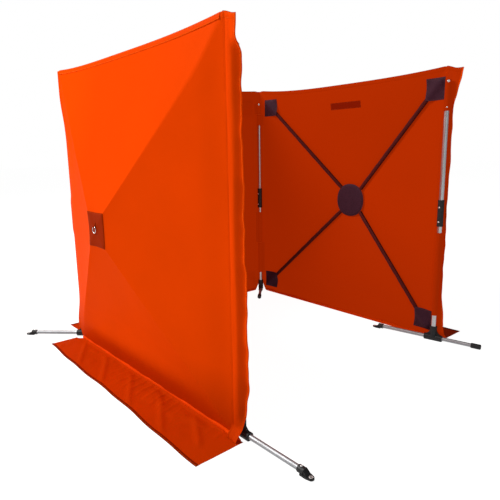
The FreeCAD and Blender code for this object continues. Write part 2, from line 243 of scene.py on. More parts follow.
def pvc(name, colour, stitched=(), thread=(0.9, 0.2, 0.02), gloss=0.44, glow=None, foot=False, shine=0.009):
    """Smooth PVC film: a faint cloudy tone, soft ripples and a very fine emboss, with painted shade near the
    floor and a painted glow where asked.
    """
    m = Nodes(name, specular_ior_level=shine)
    # painted light: an emission that stands in for light shining through the translucent film
    if glow:
        m.shader.inputs["Emission Color"].default_value = (*glow, 1.0)
        m.shader.inputs["Emission Strength"].default_value = 1.0
    tone = m.ramp(m.noise(2.2, 4.0), (0.3, tint(colour, 0.93)), (0.7, colour))
    if foot:
        # painted shade: darker towards the floor, above the fold where the fabric tucks in
        place = m.add("SeparateXYZ", Vector=m.coordinates.outputs["Object"])
        uneven = m.math("ADD", place.outputs[2], m.span(m.noise(3.0, 3.0), -0.05, 0.05))
        low = m.ramp(m.math("MULTIPLY", uneven, 3.0), (0.06, (1, 1, 1)), (0.98, (0, 0, 0)))
        tone = m.mix(m.math("MULTIPLY", low, 0.50), tone, tint(colour, 0.30))
    layers = [(m.noise(9.0, 3.0, (1, 1, 0.45)), 0.10, 6 * MM), (m.noise(900.0, 2.0), 0.12, 0.4 * MM)]
    tone = m.stitch(stitched, thread, tone, layers)
    m.bump(*layers)
    return m.finish(tone, m.span(m.noise(30.0, 3.0), gloss - 0.04, gloss + 0.08))


def woven(name, colour, stitched, threads=900.0, thread=(0.12, 0.03, 0.035)):
    """Coarse dark nylon: warp and weft from two crossed waves."""
    m = Nodes(name, specular_ior_level=0.1, sheen_weight=0.04, sheen_roughness=0.5)
    waves = []
    for direction in ("X", "Y"):
        wave = m.add("TexWave", Vector=m.coordinates.outputs["UV"], Scale=threads / 6.2832 * 2)
        wave.bands_direction = direction
        waves.append(wave.outputs["Fac"])
    weave = m.math("MULTIPLY", *waves)
    tone = m.ramp(weave, (0.0, tint(colour, 0.75)), (1.0, tint(colour, 1.25)))
    worn = m.ramp(m.noise(14.0, 5.0), (0.35, tint(colour, 0.9)), (0.75, tint(colour, 1.2)))
    layers = [(m.noise(40.0, 3.0), 0.15, 2 * MM), (weave, 0.35, 0.5 * MM)]
    tone = m.stitch(stitched, thread, m.mix(0.5, tone, worn), layers)
    m.bump(*layers)
    return m.finish(tone, m.span(weave, 0.62, 0.8))


def moulded(name, colour, rough=0.5):
    """Black moulded plastic with a spark-eroded grain and lighter rubbed patches."""
    m = Nodes(name, specular_ior_level=0.45)
    rubbed = m.ramp(m.noise(55.0, 6.0, roughness=0.65), (0.55, colour), (0.8, tint(colour, 2.2)))
    m.bump((m.noise(12.0, 2.0), 0.1, 2 * MM), (m.noise(1400.0, 2.0), 0.25, 0.3 * MM))
    return m.finish(rubbed, m.span(m.noise(90.0, 4.0), rough - 0.08, rough + 0.12))


def metal(name, colour, rough, stretch=(1, 1, 0.02), scratch=320.0, metallic=1.0):
    """Bare metal with fine drawn lines along the tube and faint smudges."""
    m = Nodes(name, metallic=metallic)
    lines = m.noise(scratch, 3.0, stretch)
    smudge = m.noise(9.0, 5.0)
    tone = m.ramp(smudge, (0.3, tint(colour, 0.86)), (0.7, colour))
    m.bump((m.noise(22.0, 3.0), 0.06, 1 * MM), (lines, 0.12, 0.4 * MM))
    worn = m.math("MULTIPLY", m.span(lines, 0.75, 1.25), m.span(smudge, rough * 1.35, rough * 0.8))
    return m.finish(tone, worn)


ORANGE = (0.88, 0.059, 0.0)
# painted shade: the inside face of the same orange film, darkened for the shade inside the U
SHADED_INNER = (0.24, 0.0145, 0.0)
MAT = {
    # painted shade: the outside orange darkens towards the floor
    "outer": pvc("pvc_orange_outside", ORANGE, foot=True, shine=0.002),
    # painted shade and painted light: the inside faces take the darkened orange and a faint emission for
    # light through the film
    "inner": pvc("pvc_orange_inside", SHADED_INNER, gloss=0.46, glow=(0.25, 0.0145, 0.0)),
    # painted shade: the flap's copy of the outside orange, a little darker for how the flap is lit, and
    # darker towards the floor
    "edge": pvc("pvc_orange_edge", tint(ORANGE, 0.98), foot=True, shine=0.004),
    "hem": pvc("pvc_orange_hem", ORANGE, (4, 22), shine=0.004),
    "hem_dark": pvc("pvc_hem_turned", (0.22, 0.011, 0.0), (4, 30)),
    # painted shade: the same orange film made darker, to cancel the stronger light on the upward-facing skirt
    "skirt": pvc("pvc_orange_skirt", tint(ORANGE, 0.60), (-6, 6)),
    "welt": pvc("pvc_orange_welt", tint(ORANGE, 0.92)),
    "dark_orange": pvc("pvc_brown_orange", (0.34, 0.022, 0.001), (5,), (0.6, 0.07, 0.02), shine=0.003),
    # the label's own colour outside; inside, the same colour paints the label's shadow through the film
    "label": pvc("pvc_label", (0.26, 0.012, 0.001), (3,), (0.4, 0.04, 0.01)),
    "dark": woven("nylon_dark", (0.050, 0.013, 0.026), (4, 9)),
    "sleeve": woven("nylon_rod_sleeve", (0.086, 0.0065, 0.0055), (3,)),
    # painted shade and painted light: the pole sleeves take an even darker copy of the inside orange and a
    # faint emission
    "pole_sleeve": pvc("pvc_pole_sleeve", tint(SHADED_INNER, 0.9), glow=(0.22, 0.0125, 0.0)),
    # painted shade and painted light: the back panel's pockets take the darkened inside orange and a faint
    # emission
    "pocket_orange": pvc("pvc_pocket", SHADED_INNER, (4, 9), (0.3, 0.03, 0.01), 0.46, (0.235, 0.0135, 0.0)),
    "aluminium": metal("aluminium_drawn", (0.80, 0.81, 0.83), 0.30),
    "aluminium_bar": metal("aluminium_bar_drawn", (0.50, 0.51, 0.53), 0.50, (0.05, 0.05, 1)),
    "rivet": metal("rivet_steel", (0.93, 0.92, 0.90), 0.42, (1, 1, 1), 500.0, 0.55),
    "chrome": metal("ring_chrome", (0.86, 0.86, 0.87), 0.12, (1, 1, 1), 700.0),
    "plastic": moulded("plastic_black", (0.012, 0.012, 0.013)),
    "glass_fibre": moulded("glass_fibre_grey", (0.16, 0.155, 0.14), 0.38),
}


# ---- Mesh helpers -------------------------------------------------------------------------
def applied(obj):
    """Replaces the object's mesh by the one that its modifiers give."""
    graph = bpy.context.evaluated_depsgraph_get()
    mesh = bpy.data.meshes.new_from_object(obj.evaluated_get(graph))
    obj.modifiers.clear()
    obj.data = mesh


def piece(name, points, faces, materials, uv=None, thickness=0.0, inner=0, sharp=40, outward=1.0,
          slots=None):
    """A smooth-shaded object. `uv` holds a pair for each point. `thickness` is added on the normals' side."""
    mesh = bpy.data.meshes.new(name)
    mesh.from_pydata([tuple(p) for p in points], [], [tuple(int(i) for i in f) for f in faces])
    for material in materials:
        mesh.materials.append(MAT[material])
    if uv is not None:
        layer = mesh.uv_layers.new(name="UVMap")
        loops = np.zeros(len(mesh.loops), int)
        mesh.loops.foreach_get("vertex_index", loops)
        layer.data.foreach_set("uv", np.asarray(uv, np.float32).reshape(-1, 2)[loops].ravel())
    mesh.polygons.foreach_set("use_smooth", [True] * len(mesh.polygons))
    if slots is not None:
        mesh.polygons.foreach_set("material_index", slots)
    obj = bpy.data.objects.new(name, mesh)
    scene.collection.objects.link(obj)
    if thickness:
        solid = obj.modifiers.new("thickness", "SOLIDIFY")
        solid.thickness = thickness
        solid.offset = outward
        solid.material_offset = inner
        applied(obj)
    obj.data.set_sharp_from_angle(angle=math.radians(sharp))
    return obj


def grid(rows, closed=False, ring=False):
    """Points and quads of a grid. `closed` joins each row end to end, `ring` the last row to the first."""
    rows = np.asarray(rows, float)
    ids = np.arange(rows.shape[0] * rows.shape[1]).reshape(rows.shape[:2])
    here, beside = (ids, np.roll(ids, -1, axis=1)) if closed else (ids[:, :-1], ids[:, 1:])
    corners = [here, beside, np.roll(beside, -1, axis=0), np.roll(here, -1, axis=0)]
    count = len(ids) if ring else len(ids) - 1
    return rows.reshape(-1, 3), np.stack(corners, axis=-1)[:count].reshape(-1, 4)


def facing(points, faces, direction):
    """The faces turned so that most look along a direction."""
    p = np.asarray(points)
    f = np.asarray(faces)
    normals = np.cross(p[f[:, 1]] - p[f[:, 0]], p[f[:, 2]] - p[f[:, 0]])
    return f if normals.sum(0) @ np.array(direction) > 0 else f[:, ::-1]


def sheet_grid(name, rows, direction, materials, uv, thickness=FABRIC, inner=0):
    """A cloth piece from a grid of points, facing a direction."""
    points, faces = grid(rows)
    return piece(name, points, facing(points, faces, direction), materials, uv, thickness, inner)


def tube(name, rows, material, uv=None, thickness=0.0, capped=False, ring=False):
    """A tube from its sections, with its faces turned outwards; `thickness` is added inwards."""
    points, faces = grid(rows, True, ring)
    faces = [tuple(f) for f in faces]
    if capped:
        around = np.shape(rows)[1]
        faces += [tuple(range(around)), tuple(range(len(points) - around, len(points)))]
    obj = piece(name, points, faces, [material], uv, thickness, outward=-1.0)
    mesh = bmesh.new()
    mesh.from_mesh(obj.data)
    bmesh.ops.recalc_face_normals(mesh, faces=mesh.faces)
    mesh.to_mesh(obj.data)
    mesh.free()
    return obj


def lathe(name, body, spot, normal, section, material, count=24, ring=False):
    """A turned piece on a body. `section` holds its (radius, height); a ring's section is a closed loop."""
    normal = Vector(normal).normalized()
    side = normal.orthogonal().normalized()
    other = normal.cross(side)
    spokes = [side * math.cos(a) + other * math.sin(a) for a in turn(count)]
    rows = [[spot + spoke * r + normal * t for spoke in spokes] for r, t in section]
    return on(tube(name, rows, material, capped=not ring, ring=ring), body)


def turn(count):
    """Equal steps once round a circle."""
    return np.linspace(0, 2 * math.pi, count + 1)[:-1]


def pairs(first, second):
    """Two coordinates for each point of a grid."""
    return np.stack(np.broadcast_arrays(first, second), -1)


def unit(vectors):
    vectors = np.asarray(vectors, float)
    return vectors / np.maximum(np.linalg.norm(vectors, axis=-1, keepdims=True), 1e-6)


def smooth(x, low=0.0, high=1.0):
    t = np.clip((np.asarray(x, float) - low) / (high - low), 0, 1)
    return t * t * (3 - 2 * t)


def wobble(x, *waves):
    """A sum of sines: each wave is (cycles per metre, size, phase)."""
    return sum(size * np.sin(2 * math.pi * cycles * np.asarray(x) + phase) for cycles, size, phase in waves)


def crease(points, scale, seed):
    """Noise from -1 to 1 at each point, the same in every run."""
    flat = np.asarray(points, float).reshape(-1, 3) * np.asarray(scale) + seed
    return np.array([noise.noise(Vector(p)) for p in flat]).reshape(np.shape(points)[:-1])


def on(obj, body, squash=None, anchor=SQUASH_ANCHOR):
    """Rides an object on a body; given `squash`, a panel, the object also gets a mesh of its own."""
    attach(obj, body)
    if squash:
        Vector(squash.at(squash.middle, anchor, PANEL / 2))
        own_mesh(obj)
    return obj


def lifted(obj, panel, anchor):
    """Cloth beside a pole's foot: it rides on its panel's body with a mesh of its own."""
    on(obj, panel.body)
    Vector(panel.at(*anchor))
    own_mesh(obj)


# ---- The sprung fabric --------------------------------------------------------------------
def hug(z):
    """Pole axis to the fabric's inner face at a hinge pole: the full plane at the ends, tight between."""
    tight = HUG + (KNUCKLE_HUG - HUG) * smooth(z, KNUCKLE_BOTTOM - 0.06, KNUCKLE_BOTTOM) \
        * (1 - smooth(z, KNUCKLE_TOP, KNUCKLE_TOP + 0.06))
    ends = np.maximum(1 - smooth(z, 0.10, 0.34), smooth(z, 1.36, 1.70))
    return tight + (PLANE - tight) * ends


def top_edge(panel, u):
    """Height of the top edge: it sags between its poles and falls again over a flap."""
    first, centre, last = TOP_EDGE[panel.name]
    place = (u - panel.span / 2) / (panel.span / 2)
    corner = np.where(place < 0, first, last)
    height = centre + (corner - centre) * np.minimum(np.abs(place) / 0.97, 1) ** 3
    past = np.where(place < 0, -u, u - panel.span)
    free = np.where(place < 0, panel.free[0], panel.free[1])
    return height - free * FLAP_DROP * smooth(past, -0.035, 0.05)


def notch(panel, side):
    """Width and height of the corner cut over a foot. side is 0 at the first pole and 1 at the last."""
    if not panel.free[side]:
        return 0.036, 0.062
    return (0.031, 0.020) if panel.name == "left" else (0.050, 0.060)


def profile(r):
    """Height of a ridge at a share r of the way from the hub's middle to the rim."""
    flat = PLATEAU / (PANEL / 2)
    slope = APEX / (1 - flat)
    bend = 0.012
    # a round shoulder where the flat over the hub ends
    return np.where(r < flat - bend, APEX,
                    np.where(r > flat + bend, (1 - r) * slope,
                             APEX - slope * (r - flat + bend) ** 2 / (4 * bend)))


def screen_point(panel, x, z):
    """u, h and z of the fabric for a square's coordinates x, z from -1 to 1."""
    x, z = np.broadcast_arrays(np.asarray(x, float), np.asarray(z, float))
    r = np.maximum(np.abs(x), np.abs(z))
    safe = np.maximum(r, 1e-6)
    # a free side's rim draws in to the seam beside its pole
    drawn_in = np.where(x > 0, panel.high, -panel.low) - np.where(x > 0, panel.span, 0)
    # pull the rings in towards the corner cuts near the floor
    squeeze = np.ones_like(r)
    for side in (0, 1):
        wide, tall = notch(panel, side)
        wide = max(wide - (EDGE_IN if panel.free[side] else 0.0), 0.004)
        across = panel.half(1 if side else -1) / wide
        down = PANEL / 2 / tall
        limit = (across + down - 1) / np.maximum((np.abs(x) * across + np.abs(z) * down) / safe, 1e-6)
        here = (z < 0) & ((x > 0) if side else (x < 0))
        squeeze = np.where(here, np.minimum(squeeze, limit), squeeze)
    scale = 1 - (1 - squeeze) * smooth(r, 0.72, 1.0)
    side_on = np.abs(x) / safe * smooth(r, 0.80, 1.0)
    u = panel.middle + x * panel.half(x) * scale + np.sign(x) * drawn_in * side_on * (np.abs(x) / safe) ** 2
    height = PANEL / 2 + z * PANEL / 2 * scale
    # along a side, from -1 at one ridge to 1 at the next
    side_place = np.where(np.abs(x) >= np.abs(z), z, x) / safe
    hollow = HOLLOW * (1 - side_place ** 2) * np.sin(math.pi * np.clip(r, 0, 1) ** 0.9)
    rim = np.zeros_like(r)
    for side, beyond in ((0, x < 0), (1, x > 0)):
        if not panel.free[side]:
            rim = np.where(beyond & (np.abs(x) >= np.abs(z)), hug(height) - PLANE, rim)
    rim = np.where((np.abs(z) > np.abs(x)) & (z > 0), 0.014 * (1 - side_place ** 2), rim)
    # the foot of the panel swells a little, then tucks in over its fold
    tuck = 21 * MM * np.exp(-((height - 0.165) / 0.085) ** 2) * np.clip(1 - side_place ** 4, 0, 1)
    h = profile(r) - hollow + rim * r ** 6 + tuck * ((z < 0) & (np.abs(z) > np.abs(x)))
    lift = (top_edge(panel, u) - PANEL) * np.clip((height - PANEL / 2) / (PANEL / 2), 0, 1) ** 5
    height = height + lift
    # tension folds: fine ripples that run out of the corners and along the top hem
    points = np.stack([u, h, height], axis=-1)
    rays = crease(np.stack([np.arctan2(z, x) * 9, r * 1.2, 0 * r], axis=-1), 1.0, len(panel.name) * 3.7)
    corner = smooth(r, 0.45, 0.85) * (1 - smooth(r, 0.93, 1.0)) * np.abs(side_place) ** 3
    broad = crease(points, (2.6, 2.6, 1.6), 11.0 + len(panel.name))
    h = h + 1.6 * MM * rays * corner + 2.2 * MM * broad * smooth(r, 0.15, 0.4) * (1 - smooth(r, 0.9, 1.0))
    return u, h, height


def on_screen(panel, u, z):
    """u, h and z of the fabric's inner face nearest a place on the panel, found by steps."""
    u, z = np.broadcast_arrays(np.asarray(u, float), np.asarray(z, float))
    half = panel.half(u - panel.middle)
    x = (u - panel.middle) / half
    y = (z - PANEL / 2) / (PANEL / 2)
    for _ in range(8):
        at_u, _, at_z = screen_point(panel, x, y)
        x = np.clip(x + (u - at_u) / half, -1, 1)
        y = np.clip(y + (z - at_z) / (PANEL / 2), -1, 1)
    return screen_point(panel, x, y)


# shares of the way from the hub to the rim, closer where the fabric bends
RINGS = np.concatenate([[0.011, 0.032, 0.055, 0.073, 0.083, 0.090, 0.096, 0.104, 0.113, 0.128, 0.15],
                        np.linspace(0.175, 0.90, 33), [0.92, 0.94, 0.957, 0.972, 0.985, 0.994, 1.0]])
PER_SIDE = 60


def square_ring():
    """Coordinates once round a square of half width 1, with points closer together at its corners."""
    s = np.linspace(-1, 1, PER_SIDE + 1)[:-1]
    s = 0.8 * s + 0.2 * np.sin(s * math.pi / 2)
    one = np.ones_like(s)
    return np.concatenate([pairs(*p) for p in ((s, -one), (one, s), (-s, one), (-one, -s))])


def screen(panel):
    """The main sheet: four gores in one cloth, from the hub to the poles, with its hinge corners apart."""
    around = square_ring()
    u, h, height = screen_point(panel, RINGS[:, None] * around[:, 0], RINGS[:, None] * around[:, 1])
    points, faces = grid(panel.at(u, h, height), closed=True)
    count, ring = len(points), len(around)
    points = np.vstack([points, panel.at(panel.middle, APEX, PANEL / 2)[None]])
    fan = facing(points, [(i, (i + 1) % ring, count) for i in range(ring)], panel.out)
    uv = np.vstack([pairs(u.ravel(), height.ravel()), [[panel.middle, PANEL / 2]]])
    main, corners = [], ([], [])
    for face in [tuple(f) for f in facing(points, faces, panel.out)] + [tuple(f) for f in fan]:
        middle_u, middle_z = uv[list(face)].mean(axis=0)
        for side, gap in enumerate((middle_u, panel.span - middle_u)):
            if not panel.free[side] and gap / CORNER[0] + middle_z / CORNER[1] < 1:
                corners[side].append(face)
                break
        else:
            main.append(face)
    for side in (0, 1):
        if corners[side]:
            corner = cut(f"{panel.name}_corner_{side + 1}", points, corners[side], uv)
            lifted(corner, panel, (0.0, 0, CORNER[1]))
    obj = on(cut(f"{panel.name}_screen", points, main, uv), panel.body, panel)
    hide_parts(f"{panel.name}_fabric")


def cut(name, points, faces, uv):
    """A piece of the screen that holds only the points that its faces use."""
    numbers = sorted({number for face in faces for number in face})
    place = {number: index for index, number in enumerate(numbers)}
    faces = [tuple(place[number] for number in face) for face in faces]
    return piece(name, points[numbers], faces, ["outer", "inner"], uv[numbers], FABRIC, 1, sharp=60)


# ---- Bands sewn along an edge -------------------------------------------------------------
HEM = ["hem", "hem_dark", "inner"]


def band(name, edge, beside, normal, width, materials, thickness=0.5 * MM, lift=(0.9 * MM, 0.8 * MM)):
    """A binding folded over an edge towards the points `beside` it. `lift` is its height over the
    cloth's outer and inner face."""
    inward = unit(beside - edge)
    normal = np.broadcast_to(np.array(normal, float), edge.shape)
    out_lift, in_lift = FABRIC + lift[0], lift[1]
    middle, radius = (out_lift - in_lift) / 2, (out_lift + in_lift) / 2
    section = [(width, out_lift - 0.5 * MM), (width * 0.97, out_lift), (width * 0.5, out_lift)]
    section += [(2 * MM, out_lift)]
    section += [(-radius * math.sin(a), middle + radius * math.cos(a)) for a in np.linspace(0.3, 2.84, 5)]
    section += [(2 * MM, -in_lift), (width * 0.5, -in_lift), (width * 0.97, -in_lift)]
    section += [(width, -in_lift + 0.5 * MM)]
    rows = np.stack([edge + inward * a + normal * b for a, b in section])
    length = np.concatenate([[0], np.cumsum(np.linalg.norm(np.diff(edge, axis=0), axis=1))])
    points, faces = grid(rows)
    # the first face shows which way they all look
    if (facing(points, faces[:1], normal.mean(0)) != faces[:1]).any():
        faces = faces[:, ::-1]
    # the outer face, the roll over the edge and the inner face take the first, second and last material
    part = np.repeat(np.arange(len(section) - 1) // 4, len(edge) - 1)
    uv = pairs(length, np.array([a for a, _ in section])[:, None])
    slots = np.minimum(part, len(materials) - 1)
    return piece(name, points, faces, materials, uv, thickness, 0, 60, slots=slots)


def top_hem(panel):
    """The folded hem along the top edge."""
    first, last = (EDGE_IN / 2 * free for free in panel.free)
    u = np.linspace(first, panel.span - last, 110)
    x = (u - panel.middle) / panel.half(u - panel.middle)
    u, h, z = screen_point(panel, x, 1.0)
    _, below_h, _ = screen_point(panel, x * 0.96, 0.96)
    below = panel.at(u, below_h, z - 0.036)
    obj = band(f"{panel.name}_top_hem", panel.at(u, h, z), below, panel.out, 26 * MM, HEM)
    on(obj, panel.body, panel)


# ---- Free edges: the strip over the pole and the flap past it ------------------------------
FLAP = {
    # height and how far the flap's edge stands past the pole's axis, from the floor up
    "left": [(0.0, 0.036), (0.05, 0.038), (0.10, 0.040), (0.18, 0.046), (0.28, 0.058), (0.40, 0.062),
             (0.54, 0.055), (0.9, 0.051), (1.3, 0.045), (1.51, 0.044), (1.66, 0.045), (1.72, 0.048),
             (1.9, 0.052)],
    "right": [(0.0, 0.068), (0.06, 0.061), (0.10, 0.055), (0.25, 0.039), (0.49, 0.030), (0.84, 0.031),
              (1.2, 0.030), (1.54, 0.032), (1.65, 0.046), (1.73, 0.069), (1.79, 0.083), (1.9, 0.090)],
}
CURL = 19 * MM                      # how far the left flap curls in round its pole
FOOT_CLEAR = 0.112                  # the foot joint turns below this height
LOW_ROWS = 16                       # rows of points below it
FLARE = 34 * MM                     # the flap's foot spreads over the skirt
FLAP_START = 14 * MM                # past the pole's axis, where the flap proper begins
FLAP_LEAST = 17 * MM                # the flap is nowhere narrower


def free_edge(panel):
    """Cloth from the panel's edge over the free pole, and the wavy flap beyond it."""
    side = 0 if panel.free[0] else 1
    sign = 1.0 if side else -1.0
    axis = panel.span * side
    table = np.array(FLAP[panel.name])
    bottom = 0.004 if panel.name == "left" else 0.010
    low_share = (FOOT_CLEAR - bottom) / (top_edge(panel, np.array(axis)) - bottom)
    share = np.concatenate([np.linspace(0, low_share, LOW_ROWS), np.linspace(low_share, 1, 150)[1:]])
    z = bottom + share * (top_edge(panel, axis + sign * 0.03) - bottom)
    wide = np.interp(z, table[:, 0], table[:, 1])
    wide = wide + wobble(z, (1.7, 1.5 * MM, 0.4), (4.1, 1.2 * MM, 1.9), (9.3, 0.7 * MM, 0.3))
    wide = np.maximum(wide, FLAP_LEAST)
    if panel.name == "left":
        # over the pole the flap curls inwards; above the pole and at the floor it stands straight
        held = smooth(z, 0.03, 0.12) * (1 - smooth(z, HIGH_SLEEVE[1] - 0.05, HIGH_SLEEVE[1] + 0.02))
        straight, curl = held, CURL * held
        flutter = wobble(z, (2.3, 3 * MM, 0.8), (5.7, 2.0 * MM, 2.1), (11.0, 1.2 * MM, 0.5))
    else:
        straight, curl = 1.0, 0.0
        flutter = wobble(z, (1.9, 5 * MM, 0.3), (4.9, 4 * MM, 1.2), (10.3, 1.8 * MM, 2.2))
    flare = FLARE * (1 - smooth(z, 0.0, 0.06))
    fixed = [-EDGE_IN, -0.026, -0.0225, -0.0195, -0.015, -0.008, 0.0, 0.008, FLAP_START]
    places = [np.full_like(z, place) for place in fixed]
    places += [FLAP_START + (wide - FLAP_START) * place for place in np.linspace(0.2, 1.0, 7)]
    columns, uvs = [], []
    for past in places:
        past = np.minimum(past, wide)
        over = np.maximum(0, 1 - (past / 0.019) ** 2)
        groove = -3.5 * MM * np.exp(-((past + 0.020) / 0.0050) ** 2)
        h = over * (-3.5 * MM + 1.2 * MM * wobble(z, (1.3, 1, 0.2))) + groove
        tail = -9 * MM * smooth(past, 0.0, 0.035) * straight - curl * smooth(past, 0.004, 0.044)
        u = axis + sign * past
        puckers = crease(np.stack([u, 0 * z, z], -1), (45.0, 1.0, 7.0), 21.0 + len(panel.name))
        h = h + tail + smooth(past, 0.012, 0.05) * flutter + flare \
            + 1.5 * MM * puckers * smooth(past, -EDGE_IN, -0.015)
        height = bottom + share * (top_edge(panel, u) - bottom)
        columns.append(panel.at(u, h, height))
        uvs.append(pairs(height, past))
    # a lip inside the main sheet keeps the seam shut when the hub is pushed in
    height = uvs[0][:, 0]
    lip = (0.5 + 20.0 * smooth(height, 0.19, 0.24) * (1 - smooth(height, 1.48, 1.54))) * MM
    inside = np.array(panel.along) * sign * lip[:, None] + np.array(panel.out) * 1.2 * MM
    columns = np.array([columns[0] - inside] + columns)
    uvs = np.array([uvs[0] - pairs(0 * lip, lip)] + uvs)
    first = LOW_ROWS - 1
    foot = sheet_grid(f"{panel.name}_flap_foot", columns[:, :LOW_ROWS], panel.out, ["edge", "inner"],
                      uvs[:, :LOW_ROWS], inner=1)
    lifted(foot, panel, (axis, 0, FOOT_CLEAR + 2 * MM))
    columns = columns[:, first:]
    flap = sheet_grid(f"{panel.name}_edge_flap", columns, panel.out, ["edge", "inner"], uvs[:, first:],
                      inner=1)
    top = band(f"{panel.name}_flap_top_hem", columns[:, -1], columns[:, -3], panel.out, 22 * MM, HEM)
    hem = band(f"{panel.name}_flap_hem", columns[-1], columns[-3], panel.out, 7 * MM, ["hem"] * 3, 0.8 * MM,
               (0.9 * MM, 0.7 * MM))
    for obj in (flap, top, hem):
        on(obj, panel.body)


# ---- Corners between two panels -----------------------------------------------------------
def gusset(pole, wing):
    """The strip that carries the fabric round a hinge pole, from the wing to the back panel."""
    axis = np.array(pole_axis(pole))
    start, end = np.array(PANELS["back"].out), np.array(wing.out)
    top = top_edge(wing, wing.span * wing.poles.index(pole))
    z = GUSSET_FOOT + np.linspace(0, 1, 120) * (top - GUSSET_FOOT)
    close = hug(z)
    pointed = np.where((z > KNUCKLE_BOTTOM - 0.1) & (z < KNUCKLE_TOP + 0.1), 0,
                       np.clip((close - HUG) / (PLANE - HUG), 0, 1))
    rows, uvs = [], []
    for angle in np.linspace(0, math.pi / 2, 17):
        square = PLANE / max(math.cos(angle), math.sin(angle))
        radius = close + (square - PLANE) * pointed ** 1.5
        toward = start * math.cos(angle) + end * math.sin(angle)
        rows.append(axis + radius[:, None] * toward + z[:, None] * UP)
        uvs.append(pairs(z, angle * PLANE))
    obj = sheet_grid(f"{pole}_gusset", rows, start + end, ["outer", "inner"], uvs, inner=1)
    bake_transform(obj)


# ---- Sleeves round the poles --------------------------------------------------------------
def pole_sleeve(name, pole, low, high, body, gather):
    """A fabric tube round a pole with pleats; `gather` says which ends are drawn in (bottom, top)."""
    axis = pole_axis(pole)
    levels = np.concatenate([np.linspace(low, low + 0.05, 12), np.linspace(low + 0.06, high - 0.06, 22),
                             np.linspace(high - 0.05, high, 12)])
    if high - low < 0.14:
        levels = np.linspace(low, high, 24)
    around = turn(48)
    rows = []
    for height in levels:
        pleat = max(smooth(0.05 - abs(height - end), 0, 0.05) * use for end, use in zip((low, high), gather))
        puff = 1.3 * MM * math.sin(math.pi * (height - low) / (high - low))
        radius = POLE_RADIUS + 1.5 * MM + puff + pleat * 1.6 * MM * (1 + np.cos(around * 11 + height * 40)) \
            + 0.5 * MM * np.cos(around * 3 + height * 25) * (1 - pleat)
        rows.append(np.stack([axis.x + radius * np.cos(around), axis.y + radius * np.sin(around),
                              np.full_like(around, height)], -1))
    points, faces = grid(rows, closed=True)
    obj = piece(name, points, faces, ["pole_sleeve"], pairs(around * 0.018, levels[:, None] - low), 1.0 * MM)
    on(obj, body)


def seam(panel, side, low, high, part):
    """The seam allowance that joins a pole sleeve to the panel."""
    z = np.linspace(low + 2 * MM, high - 2 * MM, 30)
    rise = (EDGE_IN - 3 * MM if panel.free[side] else PLANE) - 14 * MM
    rows, uvs = [], []
    for share in np.linspace(0, 1, 5):
        u = panel.span * side + (-1 if side else 1) * (13 + 15 * share) * MM
        h = 11.5 * MM + rise * share - PLANE
        rows.append(panel.at(u, h + 0.8 * MM * np.sin(z * 60) * share, z))
        uvs.append(pairs(z, share * 0.02))
    obj = sheet_grid(f"{panel.name}_{panel.poles[side]}_seam_{part}", rows, panel.out, ["pole_sleeve"], uvs,
                     1.0 * MM)
    on(obj, panel.body)


def sleeves(panel):
    """Sleeves on both poles. At a hinge pole a wing has the lower one, the back panel the upper."""
    for side, pole in enumerate(panel.poles):
        for part, (low, high) in (("low", LOW_SLEEVE), ("high", HIGH_SLEEVE)):
            half = (low + high) / 2
            gather = [part == "high", part == "low"]
            if not panel.free[side] and panel.name == "back":
                low, gather[0] = half + 0.4 * MM, False
            elif not panel.free[side]:
                high, gather[1] = half - 0.4 * MM, False
            pole_sleeve(f"{panel.name}_{pole}_sleeve_{part}", pole, low, high, panel.body, gather)
            seam(panel, side, low, high, part)


# ---- Ground skirts ------------------------------------------------------------------------
FREE_GAP, HINGE_GAP = 0.064, 0.068    # bare floor round a foot, from its pole's axis
SKIRT_REACH = {"left": (0.262, 0.222), "back": (0.262, 0.262), "right": (0.245, 0.262)}
ROOT = 3 * MM                         # the skirt starts this far out of the panel's plane


